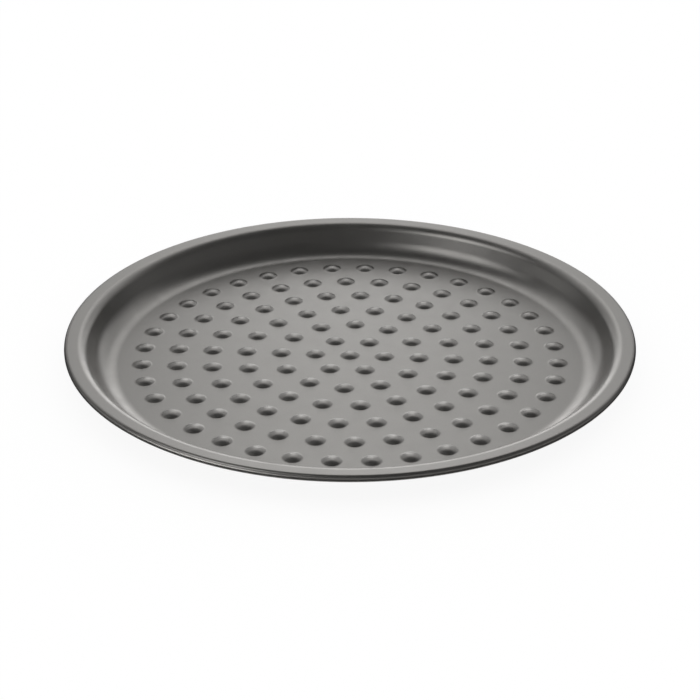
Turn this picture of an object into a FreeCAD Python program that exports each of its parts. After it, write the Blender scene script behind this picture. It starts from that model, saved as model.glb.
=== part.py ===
"""A pizza pan: one pressed steel sheet with a domed floor, its edge rolled round a stiffening wire.

Millimetres, +Z up. The origin is the centre of the underside, which is what the pan stands on.
"""
import FreeCAD, Part
import math
import os

# The sheet and its wall, all measured on the side that the food touches
sheet_thickness = 0.8
floor_diameter = 270.0
wall_run = 23.0
rim_rise = 17.0
floor_corner_radius = 15.6
rim_corner_radius = 7.6
corner_limit_share = 0.98

# The rolled rim
flange_flat = 2.9
wire_diameter = 2.0
wire_clearance = 0.25
wire_end_gap = 1.0
roll_angle = 285.0

# The domes pressed up out of the floor
dome_diameter = 12.4
dome_height = 1.75
dome_foot_radius = 2.4
dome_land = 7.8
dome_edge_margin = 5.0
domes_added_per_ring = 6

# How far a cutting tool runs past the face that it cuts
overrun = 1.0

axis_point = FreeCAD.Vector(0, 0, 0)
up = FreeCAD.Vector(0, 0, 1)

floor_radius = floor_diameter / 2
flange_top = sheet_thickness + rim_rise
flange_start = floor_radius + wall_run
wire_radius = wire_diameter / 2
roll_inner_radius = wire_radius + wire_clearance
roll_outer_radius = roll_inner_radius + sheet_thickness
roll_centre_radius = flange_start + flange_flat + roll_outer_radius
roll_centre_height = flange_top - roll_outer_radius
dome_radius = dome_diameter / 2
dome_pitch = dome_diameter + dome_land


def point(radius, height):
    """A point of a section, in the plane that is turned about the vertical axis."""
    return FreeCAD.Vector(radius, 0, height)


def arc(centre, radius, start_angle, end_angle):
    """An arc of a section, between two angles in degrees from outward, counted upward."""
    places = []
    for angle in (start_angle, (start_angle + end_angle) / 2, end_angle):
        turn = math.radians(angle)
        places.append(centre + point(radius * math.cos(turn), radius * math.sin(turn)))
    return Part.Arc(*places).toShape()


def line(start, end):
    """A straight run of a section."""
    return Part.LineSegment(start, end).toShape()


def ends(edge):
    """The first and last point of an edge."""
    return edge.valueAt(edge.FirstParameter), edge.valueAt(edge.LastParameter)


def turned(edges, angle=360):
    """The solid that a closed section sweeps about the vertical axis."""
    section = Part.Face(Part.Wire(Part.__sortEdges__(edges)))
    return section.revolve(axis_point, up, angle)


def wall_corners():
    """The two corner radii of the wall on the food side, limited by the room that the wall leaves."""
    room = wall_run
    if wall_run > rim_rise:
        room = (wall_run ** 2 + rim_rise ** 2) / (2 * rim_rise)
    fit = min(1, corner_limit_share * room / (floor_corner_radius + rim_corner_radius))
    return floor_corner_radius * fit, rim_corner_radius * fit


def sheet_side(depth):
    """The edges of one side of the sheet, from the floor's corner to the end of the roll.

    depth is how far that side lies under the food side.
    """
    floor_corner, rim_corner = wall_corners()
    floor_centre = point(floor_radius, sheet_thickness + floor_corner)
    rim_centre = point(flange_start, flange_top - rim_corner)
    roll_centre = point(roll_centre_radius, roll_centre_height)
    span = rim_centre - floor_centre
    lean = math.asin((floor_corner + rim_corner) / span.Length) + math.atan2(span.z, span.x)
    wall_angle = math.degrees(lean)
    floor_arc = arc(floor_centre, floor_corner + depth, -90, wall_angle - 90)
    rim_arc = arc(rim_centre, rim_corner - depth, wall_angle + 90, 90)
    roll_arc = arc(roll_centre, roll_outer_radius - depth, 90, 90 - roll_angle)
    wall = line(ends(floor_arc)[1], ends(rim_arc)[0])
    flange = line(ends(rim_arc)[1], ends(roll_arc)[0])
    return [floor_arc, wall, rim_arc, flange, roll_arc]


def plain_sheet():
    """The pan as drawn and rolled, before its floor is domed."""
    food_side = sheet_side(0)
    under_side = sheet_side(sheet_thickness)
    centre_top = point(0, sheet_thickness)
    floor_top = line(centre_top, ends(food_side[0])[0])
    floor_bottom = line(axis_point, ends(under_side[0])[0])
    middle = line(axis_point, centre_top)
    cut_edge = line(ends(food_side[-1])[1], ends(under_side[-1])[1])
    return turned(food_side + under_side + [floor_top, floor_bottom, middle, cut_edge])


def dome():
    """One dome of even thickness, with a rounded foot that runs out level with the floor."""
    bend_radius = (dome_radius ** 2 + dome_height ** 2) / (2 * dome_height)
    crown_radius = bend_radius - dome_foot_radius
    crown_centre = point(0, sheet_thickness + dome_height - crown_radius)
    foot_centre = point(dome_radius, sheet_thickness + dome_foot_radius)
    slope = math.degrees(math.asin(dome_radius / bend_radius))
    edges = []
    for depth in (0, sheet_thickness):
        edges.append(arc(crown_centre, crown_radius - depth, 90, 90 - slope))
        edges.append(arc(foot_centre, dome_foot_radius + depth, 270 - slope, 270))
    top, bottom = ends(edges[0])[0], ends(edges[2])[0]
    outer_top, outer_bottom = ends(edges[1])[1], ends(edges[3])[1]
    return turned(edges + [line(top, bottom), line(outer_top, outer_bottom)])


def dome_places():
    """The centre dome and the rings round it, each ring with six domes more than the last."""
    places = [axis_point]
    ring_count = int((floor_radius - dome_edge_margin - dome_radius) / dome_pitch)
    for ring in range(1, ring_count + 1):
        count = domes_added_per_ring * ring
        for index in range(count):
            turn = 2 * math.pi * index / count
            reach = ring * dome_pitch
            places.append(FreeCAD.Vector(reach * math.cos(turn), reach * math.sin(turn), 0))
    return places


def pan_shell():
    """The whole sheet: the drawn pan, with a disc of its floor replaced by each pressed dome."""
    down = FreeCAD.Vector(0, 0, -overrun)
    punch = Part.makeCylinder(dome_radius, sheet_thickness + 2 * overrun, down, up)
    pressed = dome()
    discs = []
    domes = []
    for place in dome_places():
        discs.append(punch.translated(place))
        domes.append(pressed.translated(place))
    return plain_sheet().cut(discs).fuse(domes).Solids[0]


def rim_wire():
    """The wire that the edge is rolled round, bent to a ring whose two ends almost meet."""
    gap_angle = math.degrees(wire_end_gap / roll_centre_radius)
    ring_angle = 360 - gap_angle
    centre = point(roll_centre_radius, roll_centre_height)
    along = FreeCAD.Vector(0, 1, 0)
    section = Part.makeCircle(wire_radius, centre, along)
    return turned([section], ring_angle)


os.makedirs("parts", exist_ok=True)
pan_shell().exportStep("parts/pan_shell.step")
rim_wire().exportStep("parts/rim_wire.step")
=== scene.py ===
"""A round pizza pan of grey coated sheet steel, with a domed floor and a rolled rim."""
import math

import bmesh
import bpy
from bpy.props import FloatProperty, FloatVectorProperty, IntProperty, PointerProperty
from mathutils import Euler, Matrix, Vector


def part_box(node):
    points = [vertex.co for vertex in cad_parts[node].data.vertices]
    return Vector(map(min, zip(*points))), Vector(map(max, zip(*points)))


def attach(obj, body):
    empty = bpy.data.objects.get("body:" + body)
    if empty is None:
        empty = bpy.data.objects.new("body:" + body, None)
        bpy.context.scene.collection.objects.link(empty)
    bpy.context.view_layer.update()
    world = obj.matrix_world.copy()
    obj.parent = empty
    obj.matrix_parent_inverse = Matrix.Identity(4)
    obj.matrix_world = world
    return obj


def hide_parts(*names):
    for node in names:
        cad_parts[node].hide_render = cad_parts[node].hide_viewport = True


bl_info = {
    "name": "Pizza pan",
    "version": (1, 0, 0),
    "blender": (4, 5, 0),
    "location": "View3D > Sidebar > Pizza pan",
    "description": "Builds a coated steel pizza pan with a domed floor, and a white studio round it",
    "category": "Add Mesh",
}

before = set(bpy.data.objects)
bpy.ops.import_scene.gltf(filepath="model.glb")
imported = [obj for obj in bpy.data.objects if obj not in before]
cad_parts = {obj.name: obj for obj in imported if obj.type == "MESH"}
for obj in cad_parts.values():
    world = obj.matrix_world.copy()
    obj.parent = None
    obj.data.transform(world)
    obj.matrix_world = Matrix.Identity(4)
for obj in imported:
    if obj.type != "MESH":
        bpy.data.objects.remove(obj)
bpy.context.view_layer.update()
shell_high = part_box("pan_shell")[1]
wire_low, wire_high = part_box("rim_wire")

# The rolled rim lies round the wire, so its place comes from the frame
WIRE_HEIGHT = (wire_low.z + wire_high.z) / 2
ROLL_RADIUS = shell_high.z - WIRE_HEIGHT
ROLL_REACH = shell_high.x - ROLL_RADIUS

FULL_TURN = 2 * math.pi
QUARTER_TURN = math.pi / 2
# The turn from one point of an arc to the next
BEND_STEP = math.radians(3)
ROLL_STEP = math.radians(7.5)
DOME_STEP = math.radians(7)
# How close to a bend a flat stretch gets an extra line of points, so that it shades flat
FLAT_MARGIN = 0.0003
# Points closer than this are one
POINT_TOLERANCE = 1e-6

# Widths of the coating's speckles and of its duller clouds, as shares of the orange peel's width
SPECKLE_SHARE = 1 / 3
CLOUD_SHARE = 9
# Octaves of the noise, and the range that it seldom leaves
FINE_DETAIL = 2
CLOUD_DETAIL = 3
NOISE_LOW = 0.3
NOISE_HIGH = 0.7

# The stage, in metres; the floor lies just clear of the pan's underside
FLOOR_RADIUS = 8
FLOOR_HEIGHT = -0.0002
APRON_HEIGHT = 0.0002
TENT_RADIUS = 2.5
# How far the tent reaches below the floor, as an angle at its centre
TENT_DIP = math.radians(10)
STAGE_SEGMENTS = 96
WHITE = (1, 1, 1, 1)
# Width of the camera's film, in millimetres
FILM_WIDTH = 36
# Panels of light in the tent, in degrees: azimuth from straight behind the pan to the right,
# elevation, half width and half height; then the softness of the edge and the brightness
PANELS = (
    (0, 10, 11, 12, 0.6, 1.85),
    (0, 30, 11, 14, 0.6, 0.44),
    (0, 44, 40, 10, 0.8, 0.82),
    (24, 14, 11, 10, 0.6, 0.8),
    (-24, 12, 11, 10, 0.6, 0.7),
    (-115, 50, 18, 13, 0.4, 1.4),
    (-126, 2, 24, 10, 0.4, 4),
    (-85, 8, 25, 10, 0.5, 0.4),
    (105, 30, 35, 25, 0.5, 0.04),
    (100, 3, 40, 9, 0.5, 0.35),
    (180, 5, 65, 11, 0.5, 0.45),
)


class PanSheet(bpy.types.PropertyGroup):
    """The drawn sheet, measured on the food side."""

    thickness: FloatProperty(
        name="Thickness", description="Thickness of the sheet", default=0.0008, unit="LENGTH"
    )
    floor_radius: FloatProperty(
        name="Floor radius",
        description="Flat floor, to where the wall bends up",
        default=0.135,
        unit="LENGTH",
    )
    wall_run: FloatProperty(
        name="Wall run",
        description="From the floor's edge out to the flange",
        default=0.023,
        unit="LENGTH",
    )
    floor_corner: FloatProperty(
        name="Floor corner", description="Radius between floor and wall", default=0.0156, unit="LENGTH"
    )
    rim_corner: FloatProperty(
        name="Rim corner", description="Radius between wall and flange", default=0.0076, unit="LENGTH"
    )
    flange_rise: FloatProperty(
        name="Flange rise",
        description="Slope of the flange, up to the rim",
        default=math.radians(3.5),
        subtype="ANGLE",
    )
    roll_angle: FloatProperty(
        name="Roll",
        description="How far the edge is rolled round",
        default=math.radians(285),
        subtype="ANGLE",
    )
    segments: IntProperty(name="Segments", description="Divisions round the pan", default=300, min=24)


class DomePattern(bpy.types.PropertyGroup):
    """The domes pressed up out of the floor."""

    radius: FloatProperty(
        name="Radius", description="Dome's radius at its foot", default=0.0062, unit="LENGTH"
    )
    height: FloatProperty(
        name="Height", description="Dome's rise over the floor", default=0.00175, unit="LENGTH"
    )
    foot_radius: FloatProperty(
        name="Foot", description="Rounding where the dome meets the floor", default=0.0024, unit="LENGTH"
    )
    pitch: FloatProperty(
        name="Pitch", description="From one ring of domes to the next", default=0.0202, unit="LENGTH"
    )
    rings: IntProperty(name="Rings", description="Rings round the centre dome", default=6, min=0)
    added_per_ring: IntProperty(name="Added", description="Domes that each ring adds", default=6, min=1)
    segments: IntProperty(name="Segments", description="Divisions round a dome", default=32, min=8)


class CoatingFinish(bpy.types.PropertyGroup):
    """The baked non-stick coating."""

    colour: FloatVectorProperty(
        name="Colour", description="Grey of the coating", subtype="COLOR", default=(0.36, 0.35, 0.336)
    )
    metallic: FloatProperty(
        name="Metallic", description="Glint of the coating", default=0.97, min=0, max=1
    )
    gloss_low: FloatProperty(name="Smooth", description="Least roughness", default=0.30, min=0, max=1)
    gloss_high: FloatProperty(name="Rough", description="Most roughness", default=0.36, min=0, max=1)
    mottle: FloatProperty(name="Mottle", description="Spread of the grey", default=0.06, min=0, max=1)
    peel_size: FloatProperty(
        name="Peel size", description="Width of the orange peel", default=0.0011, unit="LENGTH"
    )
    peel_depth: FloatProperty(
        name="Peel depth", description="Depth of the orange peel", default=0.000004, unit="LENGTH"
    )


class WireFinish(bpy.types.PropertyGroup):
    """The bare steel of the wire in the rolled rim."""

    colour: FloatVectorProperty(
        name="Colour", description="Grey of the steel", subtype="COLOR", default=(0.56, 0.56, 0.57)
    )
    gloss_low: FloatProperty(name="Smooth", description="Least roughness", default=0.25, min=0, max=1)
    gloss_high: FloatProperty(name="Rough", description="Most roughness", default=0.45, min=0, max=1)
    grain_size: FloatProperty(
        name="Grain", description="Width of the uneven patches", default=0.0004, unit="LENGTH"
    )


class StudioSet(bpy.types.PropertyGroup):
    """Camera, floor and light."""

    azimuth: FloatProperty(
        name="Azimuth",
        description="Camera's turn round the pan",
        default=math.radians(4.56),
        subtype="ANGLE",
    )
    elevation: FloatProperty(
        name="Elevation",
        description="Camera's tilt down",
        default=math.radians(27.367),
        subtype="ANGLE",
    )
    distance: FloatProperty(
        name="Distance", description="From the camera to its aim", default=1.1106, unit="LENGTH"
    )
    aim_depth: FloatProperty(
        name="Aim",
        description="The aim lies this far behind the pan's centre",
        default=0.00693,
        unit="LENGTH",
    )
    lens: FloatProperty(name="Lens", description="Focal length in millimetres", default=96.98)
    light: FloatProperty(name="Light", description="Strength of the white surround", default=1.0)
    tent_level: FloatProperty(
        name="Tent", description="Brightness of the dark tent", default=0.045, min=0
    )
    # The apron's grey sets how dark the painted reflection on the rolled rim is.
    apron_shade: FloatProperty(
        name="Apron", description="Grey of the apron", default=0.05, min=0, max=1
    )
    shadow: FloatProperty(name="Shadow", description="Strength of the shadow", default=0.1, min=0, max=1)


class PizzaPan(bpy.types.PropertyGroup):
    """All that a user would change."""

    sheet: PointerProperty(type=PanSheet)
    domes: PointerProperty(type=DomePattern)
    coating: PointerProperty(type=CoatingFinish)
    wire: PointerProperty(type=WireFinish)
    studio: PointerProperty(type=StudioSet)


def arc_points(centre, radius, start, end, step=BEND_STEP):
    """Points (radius, height) along an arc of a section, with its two ends."""
    count = max(2, round(abs(end - start) / step))
    points = []
    for index in range(count + 1):
        turn = start + (end - start) * index / count
        points.append((centre[0] + radius * math.cos(turn), centre[1] + radius * math.sin(turn)))
    return points


def flat_points(start, end):
    """The two points just inside the ends of a straight stretch."""
    start, end = Vector(start), Vector(end)
    inset = (end - start).normalized() * FLAT_MARGIN
    return [tuple(start + inset), tuple(end - inset)]


def sheet_side(sheet, depth):
    """One side of the sheet, from just inside the floor's edge to the end of the roll."""
    flange_end = QUARTER_TURN + sheet.flange_rise
    floor_centre = (sheet.floor_radius, sheet.thickness + sheet.floor_corner)
    wall_reach = sheet.floor_radius + sheet.wall_run
    flange_climb = (ROLL_REACH - wall_reach) * math.sin(sheet.flange_rise)
    corner_drop = (sheet.rim_corner - ROLL_RADIUS + flange_climb) / math.cos(sheet.flange_rise)
    rim_centre = (wall_reach, WIRE_HEIGHT - corner_drop)
    run, rise = rim_centre[0] - floor_centre[0], rim_centre[1] - floor_centre[1]
    bends = (sheet.floor_corner + sheet.rim_corner) / math.hypot(run, rise)
    lean = math.asin(bends) + math.atan2(rise, run)
    floor_bend = arc_points(floor_centre, sheet.floor_corner + depth, -QUARTER_TURN, lean - QUARTER_TURN)
    rim_bend = arc_points(rim_centre, sheet.rim_corner - depth, lean + QUARTER_TURN, flange_end)
    roll_end = QUARTER_TURN - sheet.roll_angle
    roll = arc_points((ROLL_REACH, WIRE_HEIGHT), ROLL_RADIUS - depth, flange_end, roll_end, ROLL_STEP)
    floor_end = (sheet.floor_radius - FLAT_MARGIN, floor_bend[0][1])
    wall = flat_points(floor_bend[-1], rim_bend[0])
    flange = flat_points(rim_bend[-1], roll[0])
    return [floor_end] + floor_bend + wall + rim_bend + flange + roll


def spun(points, segments):
    """The surface that a section sweeps round the vertical axis, as a bmesh."""
    made = bmesh.new()
    corners = [made.verts.new((radius, 0, height)) for radius, height in points]
    edges = [made.edges.new(pair) for pair in zip(corners, corners[1:])]
    bmesh.ops.spin(
        made,
        geom=corners + edges,
        cent=(0, 0, 0),
        axis=(0, 0, 1),
        angle=FULL_TURN,
        steps=segments,
        use_merge=True,
    )
    bmesh.ops.remove_doubles(made, verts=made.verts, dist=POINT_TOLERANCE)
    return made


def finished_mesh(name, made):
    """Turns a bmesh into a mesh, and frees it."""
    mesh = bpy.data.meshes.new(name)
    made.to_mesh(mesh)
    made.free()
    return mesh


def add_surface(target, source, place):
    """Adds a bmesh to another, moved to a place, and keeps the source."""
    loose = bpy.data.meshes.new("loose")
    source.to_mesh(loose)
    loose.transform(Matrix.Translation(place))
    target.from_mesh(loose)
    bpy.data.meshes.remove(loose)


def dome_side(sheet, domes, depth):
    """One side of a dome, from its crown to the flat just outside its foot."""
    bend = (domes.radius ** 2 + domes.height ** 2) / (2 * domes.height)
    crown_radius = bend - domes.foot_radius
    slope = math.asin(domes.radius / bend)
    crown_centre = (0, sheet.thickness + domes.height - crown_radius)
    foot_centre = (domes.radius, sheet.thickness + domes.foot_radius)
    crown_end = QUARTER_TURN - slope
    foot_end = 3 * QUARTER_TURN
    crown = arc_points(crown_centre, crown_radius - depth, QUARTER_TURN, crown_end, DOME_STEP)
    foot = arc_points(foot_centre, domes.foot_radius + depth, foot_end - slope, foot_end, DOME_STEP)
    return crown + foot[1:] + [(domes.radius + FLAT_MARGIN, foot[-1][1])]


def dome_places(domes):
    """The centre dome and the rings round it."""
    places = [Vector((0, 0, 0))]
    for ring in range(1, domes.rings + 1):
        count = domes.added_per_ring * ring
        for index in range(count):
            turn = FULL_TURN * index / count
            places.append(Vector((math.cos(turn), math.sin(turn), 0)) * ring * domes.pitch)
    return places


def fill_floor(made, height):
    """Fills the flat floor between the domes at one height."""
    rims = []
    for edge in made.edges:
        gaps = [abs(corner.co.z - height) for corner in edge.verts]
        if edge.is_boundary and max(gaps) < POINT_TOLERANCE:
            rims.append(edge)
    bmesh.ops.triangle_fill(made, use_beauty=True, edges=rims, normal=(0, 0, 1))


def shell_mesh(sheet, domes):
    """The whole sheet as one closed mesh."""
    food_side = sheet_side(sheet, 0)
    under_side = sheet_side(sheet, sheet.thickness)
    made = spun(food_side + under_side[::-1], sheet.segments)
    for depth in (0, sheet.thickness):
        cap = spun(dome_side(sheet, domes, depth), domes.segments)
        for place in dome_places(domes):
            add_surface(made, cap, place)
        cap.free()
    fill_floor(made, sheet.thickness)
    fill_floor(made, 0)
    bmesh.ops.recalc_face_normals(made, faces=made.faces)
    for face in made.faces:
        face.smooth = True
    return finished_mesh("pan_sheet", made)


def new_piece(name, mesh):
    """An object in the scene with that mesh."""
    piece = bpy.data.objects.new(name, mesh)
    bpy.context.scene.collection.objects.link(piece)
    return piece


def new_material(name):
    """A material with an empty tree and its output."""
    material = bpy.data.materials.new(name)
    material.use_nodes = True
    tree = material.node_tree
    tree.nodes.clear()
    output = tree.nodes.new("ShaderNodeOutputMaterial")
    return material, tree, output


def grain(tree, place, size, detail):
    """Noise of that feature size, in metres."""
    noise = tree.nodes.new("ShaderNodeTexNoise")
    noise.inputs["Scale"].default_value = 1 / size
    noise.inputs["Detail"].default_value = detail
    tree.links.new(place, noise.inputs["Vector"])
    return noise.outputs["Fac"]


def spread(tree, source, low, high):
    """Maps noise to a range."""
    ranged = tree.nodes.new("ShaderNodeMapRange")
    ranged.inputs["From Min"].default_value = NOISE_LOW
    ranged.inputs["From Max"].default_value = NOISE_HIGH
    ranged.inputs["To Min"].default_value = low
    ranged.inputs["To Max"].default_value = high
    tree.links.new(source, ranged.inputs["Value"])
    return ranged.outputs["Result"]


def coating_material(coating):
    """Semi-gloss grey coating with a metallic glint, faint mottling and fine orange peel."""
    material, tree, output = new_material("grey_coating")
    shader = tree.nodes.new("ShaderNodeBsdfPrincipled")
    shader.inputs["Metallic"].default_value = coating.metallic
    place = tree.nodes.new("ShaderNodeTexCoord").outputs["Object"]
    shade = tree.nodes.new("ShaderNodeMix")
    shade.data_type = "RGBA"
    shade.inputs["A"].default_value = [part * (1 - coating.mottle) for part in coating.colour] + [1]
    shade.inputs["B"].default_value = [part * (1 + coating.mottle) for part in coating.colour] + [1]
    speckles = grain(tree, place, coating.peel_size * SPECKLE_SHARE, FINE_DETAIL)
    tree.links.new(spread(tree, speckles, 0, 1), shade.inputs["Factor"])
    tree.links.new(shade.outputs["Result"], shader.inputs["Base Color"])
    clouds = grain(tree, place, coating.peel_size * CLOUD_SHARE, CLOUD_DETAIL)
    gloss = spread(tree, clouds, coating.gloss_low, coating.gloss_high)
    tree.links.new(gloss, shader.inputs["Roughness"])
    bump = tree.nodes.new("ShaderNodeBump")
    bump.inputs["Strength"].default_value = 1
    bump.inputs["Distance"].default_value = coating.peel_depth
    peel = grain(tree, place, coating.peel_size, FINE_DETAIL)
    tree.links.new(peel, bump.inputs["Height"])
    tree.links.new(bump.outputs["Normal"], shader.inputs["Normal"])
    tree.links.new(shader.outputs["BSDF"], output.inputs["Surface"])
    return material


def wire_material(finish):
    """Bare drawn steel with a slightly uneven sheen."""
    material, tree, output = new_material("wire_steel")
    shader = tree.nodes.new("ShaderNodeBsdfPrincipled")
    shader.inputs["Metallic"].default_value = 1
    shader.inputs["Base Color"].default_value = (*finish.colour, 1)
    place = tree.nodes.new("ShaderNodeTexCoord").outputs["Object"]
    patches = grain(tree, place, finish.grain_size, FINE_DETAIL)
    gloss = spread(tree, patches, finish.gloss_low, finish.gloss_high)
    tree.links.new(gloss, shader.inputs["Roughness"])
    tree.links.new(shader.outputs["BSDF"], output.inputs["Surface"])
    return material


class PIZZAPAN_OT_add_shell(bpy.types.Operator):
    """Build the pressed and rolled sheet with its coating"""

    bl_idname = "pizza_pan.add_shell"
    bl_label = "Add the pan's shell"

    def execute(self, context):
        pan = context.scene.pizza_pan
        piece = new_piece("pan_shell_sheet", shell_mesh(pan.sheet, pan.domes))
        piece.data.materials.append(coating_material(pan.coating))
        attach(piece, "root")
        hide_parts("pan_shell")
        return {"FINISHED"}


class PIZZAPAN_OT_finish_wire(bpy.types.Operator):
    """Give the wire inside the rolled rim its bare steel"""

    bl_idname = "pizza_pan.finish_wire"
    bl_label = "Finish the rim's wire"

    def execute(self, context):
        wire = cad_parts["rim_wire"]
        wire.data.materials.clear()
        wire.data.materials.append(wire_material(context.scene.pizza_pan.wire))
        return {"FINISHED"}


def add_stage_piece(name, section, material):
    """A round piece of the stage, swept from its section."""
    mesh = finished_mesh(name, spun(section, STAGE_SEGMENTS))
    mesh.materials.append(material)
    piece = new_piece(name, mesh)
    return piece


def floor_material(shadow):
    """White floor, lit from within for the most part, so that the shadow on it stays light."""
    material, tree, output = new_material("white_floor")
    matt = tree.nodes.new("ShaderNodeBsdfDiffuse")
    matt.inputs["Color"].default_value = WHITE
    glow = tree.nodes.new("ShaderNodeEmission")
    path = tree.nodes.new("ShaderNodeLightPath").outputs
    seen = path["Is Camera Ray"]
    for ray in ("Is Glossy Ray", "Is Transmission Ray"):
        either = tree.nodes.new("ShaderNodeMath")
        either.operation = "MAXIMUM"
        tree.links.new(seen, either.inputs[0])
        tree.links.new(path[ray], either.inputs[1])
        seen = either.outputs["Value"]
    share = tree.nodes.new("ShaderNodeMath")
    share.operation = "MULTIPLY"
    share.inputs[1].default_value = 1 - shadow
    tree.links.new(seen, share.inputs[0])
    mixed = tree.nodes.new("ShaderNodeMixShader")
    tree.links.new(share.outputs["Value"], mixed.inputs["Fac"])
    tree.links.new(matt.outputs["BSDF"], mixed.inputs[1])
    tree.links.new(glow.outputs["Emission"], mixed.inputs[2])
    tree.links.new(mixed.outputs["Shader"], output.inputs["Surface"])
    material.cycles.emission_sampling = "NONE"
    return material


def apron_material(shade):
    """Matt grey card, used for the apron's painted dark reflection."""
    material, tree, output = new_material("apron")
    shader = tree.nodes.new("ShaderNodeBsdfDiffuse")
    shader.inputs["Color"].default_value = (shade, shade, shade, 1)
    tree.links.new(shader.outputs["BSDF"], output.inputs["Surface"])
    return material


def panel_light(tree, heading, azimuth, elevation, half_width, half_height, softness, amount):
    """Brightness of one soft-edged panel, by the heading from the tent's centre."""
    turn, rise = math.radians(azimuth), math.radians(elevation)
    reach = math.cos(rise)
    centre = Vector((math.sin(turn) * reach, math.cos(turn) * reach, math.sin(rise)))
    spans = [math.sin(math.radians(angle)) for angle in (half_width, half_height)]
    facing = tree.nodes.new("ShaderNodeMapping")
    facing.vector_type = "TEXTURE"
    facing.inputs["Location"].default_value = centre
    facing.inputs["Rotation"].default_value = centre.to_track_quat("Z", "Y").to_euler()
    facing.inputs["Scale"].default_value = (*spans, 1)
    tree.links.new(heading, facing.inputs["Vector"])
    offset = tree.nodes.new("ShaderNodeVectorMath")
    offset.operation = "LENGTH"
    tree.links.new(facing.outputs["Vector"], offset.inputs[0])
    panel = tree.nodes.new("ShaderNodeMapRange")
    panel.interpolation_type = "SMOOTHSTEP"
    panel.inputs["From Min"].default_value = 1 - softness
    panel.inputs["From Max"].default_value = 1 + softness
    panel.inputs["To Min"].default_value = amount
    panel.inputs["To Max"].default_value = 0
    tree.links.new(offset.outputs["Value"], panel.inputs["Value"])
    return panel.outputs["Result"]


def tent_material(level):
    """Dark cloth with the panels of light in it."""
    material, tree, output = new_material("tent")
    shader = tree.nodes.new("ShaderNodeEmission")
    outward = tree.nodes.new("ShaderNodeVectorMath")
    outward.operation = "NORMALIZE"
    tree.links.new(tree.nodes.new("ShaderNodeTexCoord").outputs["Object"], outward.inputs[0])
    light = None
    for panel in PANELS:
        total = tree.nodes.new("ShaderNodeMath")
        total.operation = "ADD"
        tree.links.new(panel_light(tree, outward.outputs["Vector"], *panel), total.inputs[0])
        if light:
            tree.links.new(light, total.inputs[1])
        else:
            total.inputs[1].default_value = level
        light = total.outputs["Value"]
    tree.links.new(light, shader.inputs["Strength"])
    tree.links.new(shader.outputs["Emission"], output.inputs["Surface"])
    material.cycles.emission_sampling = "NONE"
    return material


def reflections_only(card):
    """Hides a card from everything but reflections."""
    card.visible_camera = False
    card.visible_diffuse = False
    card.visible_transmission = False
    card.visible_shadow = False


def add_floor(studio):
    """The white floor, and over it the dark apron, which only reflections show: a painted dark
    reflection on the rolled rim and the pan's outside, where the white floor would show.
    """
    floor = [(0, FLOOR_HEIGHT), (FLOOR_RADIUS, FLOOR_HEIGHT)]
    add_stage_piece("floor", floor, floor_material(studio.shadow))
    # The apron paints a dark reflection on the rolled rim, in place of the white floor that the camera
    # sees.
    ring = [(shell_high.x, APRON_HEIGHT), (TENT_RADIUS, APRON_HEIGHT)]
    apron = add_stage_piece("apron", ring, apron_material(studio.apron_shade))
    reflections_only(apron)


def add_tent(studio):
    """A tent round the set, with the panels of light that the coating reflects."""
    section = arc_points((0, 0), TENT_RADIUS, QUARTER_TURN, -TENT_DIP)
    tent = add_stage_piece("tent", section, tent_material(studio.tent_level))
    tent.rotation_euler.z = studio.azimuth
    reflections_only(tent)


def add_world(strength):
    """Even white light from all round, which is also the background."""
    world = bpy.data.worlds.new("surround")
    world.use_nodes = True
    background = world.node_tree.nodes["Background"]
    background.inputs["Color"].default_value = WHITE
    background.inputs["Strength"].default_value = strength
    bpy.context.scene.world = world


def add_camera(studio, aim_height):
    """The camera at the photograph's place."""
    data = bpy.data.cameras.new("camera")
    data.sensor_width = FILM_WIDTH
    data.lens = studio.lens
    camera = bpy.data.objects.new("camera", data)
    bpy.context.scene.collection.objects.link(camera)
    depth = studio.aim_depth - studio.distance * math.cos(studio.elevation)
    height = aim_height + studio.distance * math.sin(studio.elevation)
    camera.location = Matrix.Rotation(studio.azimuth, 3, "Z") @ Vector((0, depth, height))
    camera.rotation_euler = Euler((QUARTER_TURN - studio.elevation, 0, studio.azimuth))
    bpy.context.scene.camera = camera


class PIZZAPAN_OT_set_stage(bpy.types.Operator):
    """Set up the floor, the light and the camera"""

    bl_idname = "pizza_pan.set_stage"
    bl_label = "Set the stage"

    def execute(self, context):
        pan = context.scene.pizza_pan
        add_floor(pan.studio)
        add_tent(pan.studio)
        add_world(pan.studio.light)
        add_camera(pan.studio, pan.sheet.thickness)
        context.scene.view_settings.view_transform = "Standard"
        return {"FINISHED"}


class PIZZAPAN_PT_panel(bpy.types.Panel):
    """The pan's sizes, finishes and steps"""

    bl_label = "Pizza pan"
    bl_idname = "PIZZAPAN_PT_panel"
    bl_space_type = "VIEW_3D"
    bl_region_type = "UI"
    bl_category = "Pizza pan"

    def draw(self, context):
        pan = context.scene.pizza_pan
        for title in pan.__annotations__:
            group = getattr(pan, title)
            column = self.layout.column(align=True)
            column.label(text=title.capitalize())
            for name in group.__annotations__:
                column.prop(group, name)
        for step in STEPS:
            self.layout.operator(step.bl_idname)


STEPS = (PIZZAPAN_OT_add_shell, PIZZAPAN_OT_finish_wire, PIZZAPAN_OT_set_stage)
GROUPS = (PanSheet, DomePattern, CoatingFinish, WireFinish, StudioSet, PizzaPan)
CLASSES = (*GROUPS, *STEPS, PIZZAPAN_PT_panel)


def register():
    for made in CLASSES:
        bpy.utils.register_class(made)
    bpy.types.Scene.pizza_pan = PointerProperty(type=PizzaPan)


def unregister():
    del bpy.types.Scene.pizza_pan
    for made in reversed(CLASSES):
        bpy.utils.unregister_class(made)


def main():
    """Builds the pan and its stage."""
    register()
    bpy.ops.pizza_pan.add_shell()
    bpy.ops.pizza_pan.finish_wire()
    bpy.ops.pizza_pan.set_stage()


if __name__ == "__main__":
    main()
